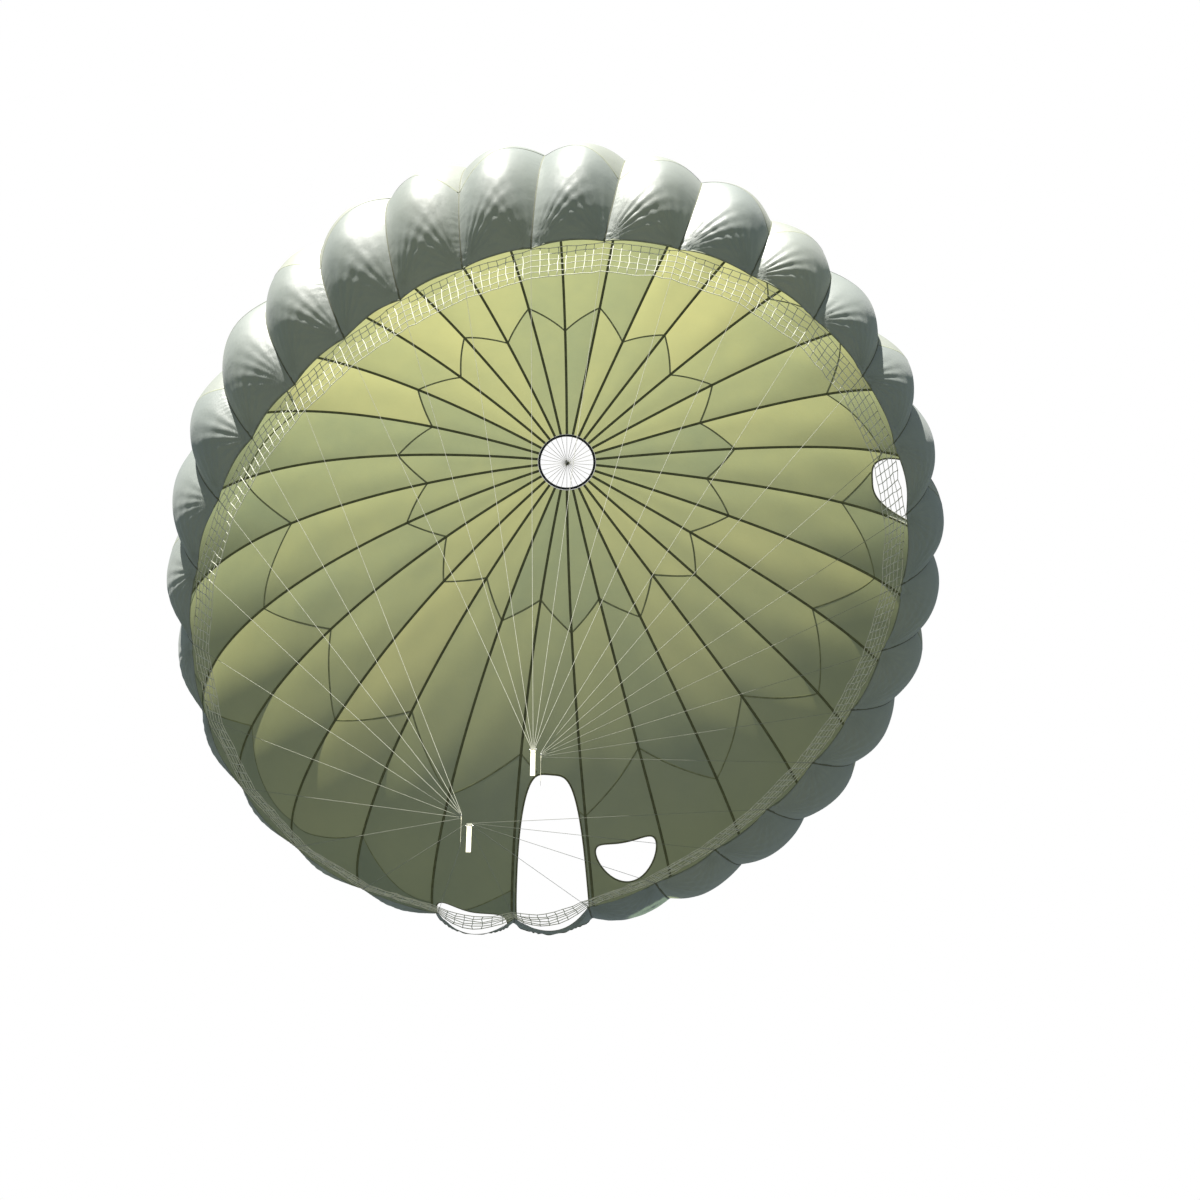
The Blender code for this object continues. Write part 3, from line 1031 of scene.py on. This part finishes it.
# %% Webbing risers with their sewn eyes
RISER_LENGTH = 0.76
RISER_WIDTH = 0.044
RISER_THICK = 0.004
EYE_RADIUS = LINK_ROD / 2 + 0.002
EYE_TURNS = (-68, 248)
EYE_NECK = 0.014
EYE_SEWN = 0.085
STITCH_HALF = 0.0006
STITCH_SWING = 0.0022
STITCH_STEPS = 34
STITCH_ROWS = (-0.7, -0.25, 0.25, 0.7)
STRAP_SHAPE = (
    (-1, 0), (-0.97, 0.8), (-0.8, 1), (0.8, 1), (0.97, 0.8), (1, 0),
    (0.97, -0.8), (0.8, -1), (-0.8, -1), (-0.97, -0.8),
)


def riser_mesh(link):
    """The webbing goes down from the eye, and its folded end lies against it for a hand's width."""
    half = RISER_THICK / 4
    mid = EYE_RADIUS + half
    turns = np.radians(np.linspace(*EYE_TURNS, 24))
    eye = np.stack((np.zeros_like(turns), mid * np.cos(turns), mid * np.sin(turns)), axis=-1)
    down = np.linspace(-EYE_NECK, -RISER_LENGTH, 40)
    tail = np.stack((np.zeros_like(down), np.full_like(down, -half), down), axis=-1)
    back = np.linspace(-EYE_SEWN, -EYE_NECK, 12)
    fold = np.stack((np.zeros_like(back), np.full_like(back, half), back), axis=-1)
    line = np.concatenate((fold, eye, tail))
    side = np.tile(np.array((1.0, 0.0, 0.0)), (len(line), 1))
    normal = unit(np.cross(side, along(line)))
    points, faces = strip(line, side, normal, RISER_WIDTH / 2, half, STRAP_SHAPE)
    centre = link_centre(link) - UP * (LINK_HEIGHT / 2 - LINK_ROD / 2)
    return placed(points, link, centre), faces, centre


def stitch_mesh(link, centre):
    """Rows of zigzag stitches over the folded end, on both faces."""
    parts = []
    for face in (-1, 1):
        for row in STITCH_ROWS:
            down = np.linspace(-EYE_NECK - 0.010, -EYE_SEWN + 0.006, STITCH_STEPS)
            swing = STITCH_SWING * np.where(np.arange(STITCH_STEPS) % 2 == 0, 1, -1)
            depth = face * (RISER_THICK / 2 + STITCH_HALF * 0.5)
            line = np.stack((row * RISER_WIDTH / 2 + swing, np.full_like(down, depth), down), axis=-1)
            out = np.tile(np.array((0.0, float(face), 0.0)), (STITCH_STEPS, 1))
            points, faces = strip(line, unit(np.cross(along(line), out)), out, STITCH_HALF, STITCH_HALF)
            parts.append((placed(points, link, centre), faces))
    return joined(parts)


for link in LINKS:
    points, faces, centre = riser_mesh(link)
    piece = keep(f"webbing_riser_{link['name']}", points, faces, WEBBING, "riser_webbing")
    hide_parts(f"riser_{link['name']}")
    keep(f"riser_stitches_{link['name']}", *stitch_mesh(link, centre), THREAD, "riser_webbing")
print("risers:", len(LINKS))

# %% [markdown]
# ## Light, floor and backdrop
# The sun stands behind the canopy, up and a little to the left in the photograph, so that light comes
# through the cloth and strikes the outer lobes. The world is white where the camera looks and dimmer as a
# light, as the open sky is beside the sun. A dark floor lies far below and sends a little light back up,
# as the ground does.

# %% Sun, world and floor
SUN_STRENGTH = 14.5
SUN_TO = Vector((-0.18, -0.79, 0.60))
SUN_COLOUR = (1.0, 0.97, 0.92)
SUN_WIDTH = radians(0.6)
SKY_LIGHT = (0.26, 0.32, 0.38)
FLOOR_HALF = 300
FLOOR_DEPTH = -112
lamp = bpy.data.lights.new("sun", "SUN")
lamp.energy = SUN_STRENGTH
lamp.angle = SUN_WIDTH
lamp.color = SUN_COLOUR
sun = bpy.data.objects.new("sun", lamp)
bpy.context.collection.objects.link(sun)
sun.rotation_euler = SUN_TO.to_track_quat("Z", "Y").to_euler()

world = bpy.data.worlds.new("sky")
world.use_nodes = True
tree = world.node_tree
tree.nodes.clear()
white = add_node(tree, "ShaderNodeBackground")
white.inputs["Color"].default_value = (1, 1, 1, 1)
light = add_node(tree, "ShaderNodeBackground")
light.inputs["Color"].default_value = (*SKY_LIGHT, 1)
path = add_node(tree, "ShaderNodeLightPath")
mix = add_node(tree, "ShaderNodeMixShader")
tree.links.new(path.outputs["Is Camera Ray"], mix.inputs["Fac"])
tree.links.new(light.outputs["Background"], mix.inputs[1])
tree.links.new(white.outputs["Background"], mix.inputs[2])
tree.links.new(mix.outputs["Shader"], add_node(tree, "ShaderNodeOutputWorld").inputs["Surface"])
bpy.context.scene.world = world

FLOOR_CORNERS = ((-1, -1), (1, -1), (1, 1), (-1, 1))
floor_points = [(x * FLOOR_HALF, y * FLOOR_HALF, FLOOR_DEPTH) for x, y in FLOOR_CORNERS]
floor_mesh = bpy.data.meshes.new("floor")
floor_mesh.from_pydata(floor_points, [], [(0, 1, 2, 3)])
floor_finish, _, floor_shader = blank_material("dark_floor")
floor_shader.inputs["Base Color"].default_value = (0.11, 0.115, 0.11, 1)
floor_shader.inputs["Roughness"].default_value = 0.9
floor_mesh.materials.append(floor_finish)
floor = bpy.data.objects.new("floor", floor_mesh)
bpy.context.collection.objects.link(floor)
bpy.context.scene.view_settings.view_transform = "Standard"
print("sun from", tuple(round(v, 2) for v in SUN_TO.normalized()))
